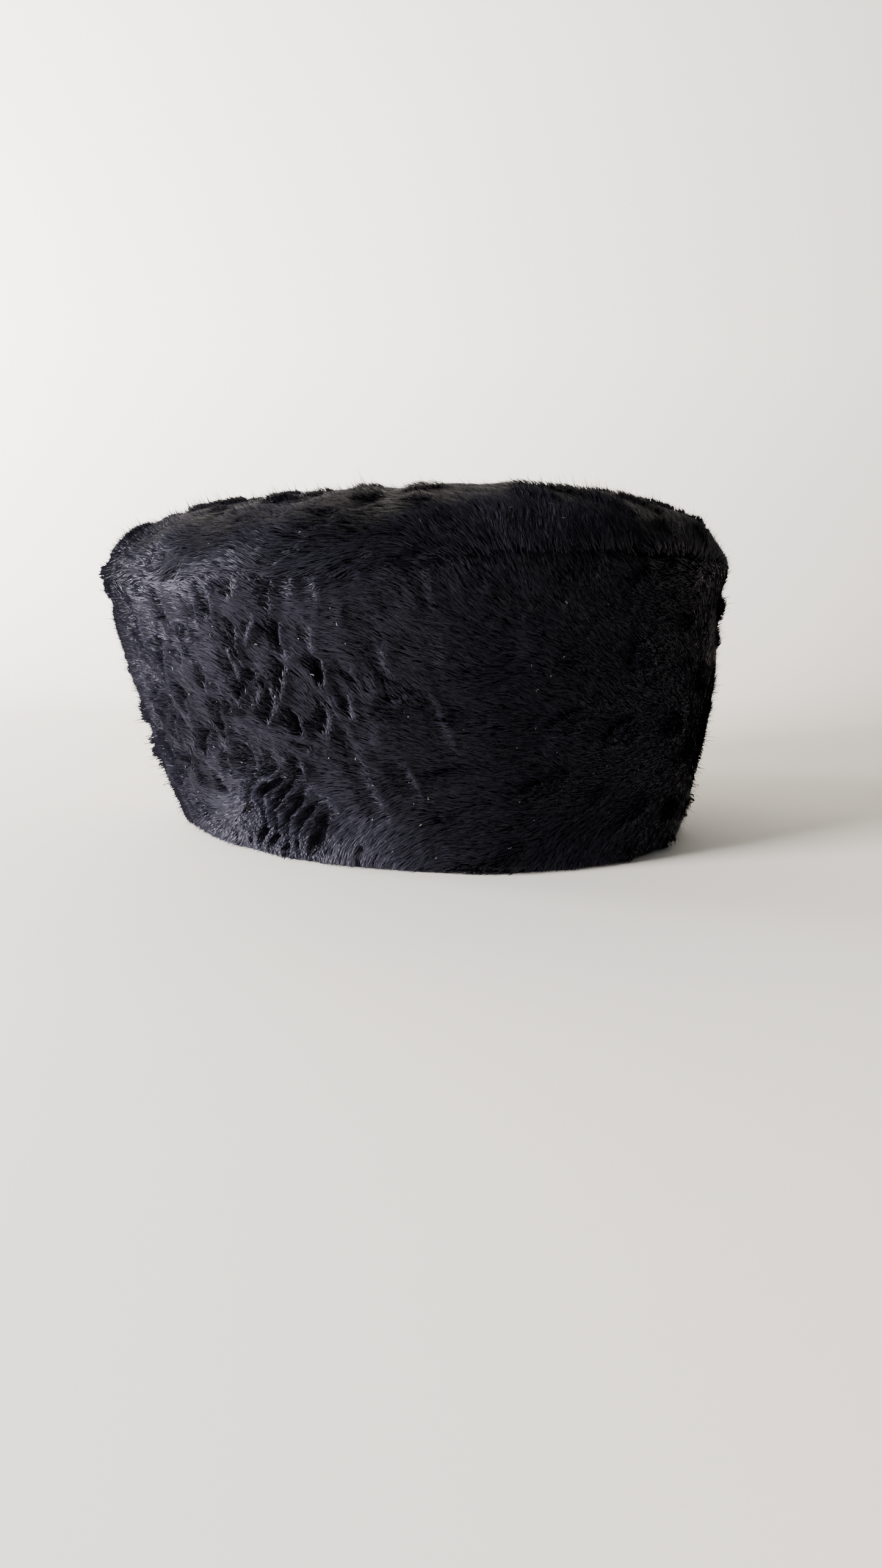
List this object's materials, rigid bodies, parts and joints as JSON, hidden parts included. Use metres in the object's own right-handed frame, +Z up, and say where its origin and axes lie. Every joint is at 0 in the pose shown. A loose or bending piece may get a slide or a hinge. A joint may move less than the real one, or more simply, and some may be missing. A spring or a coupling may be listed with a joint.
{
  "type": "cossack hat",
  "caption": "Tall brimless hat of short-pile black fur cloth: a side band flared from the rim up and a padded oval crown tip, open underneath for the head.",
  "frame": {"origin": "on the surface that the rim rests on, under the middle of the hat's widest oval", "axes": "+Z up from the rim to the crown, -Y to the front of the hat, -X to the wearer's right"},
  "size_m": [0.2261, 0.2417, 0.125],
  "materials": {
    "fur_cloth": "short black pile lying along the band in waves and tufts, with a faint violet sheen"
  },
  "bodies": {
    "root": {"side_band": "fur_cloth", "crown_tip": "fur_cloth"}
  },
  "joints": []
}
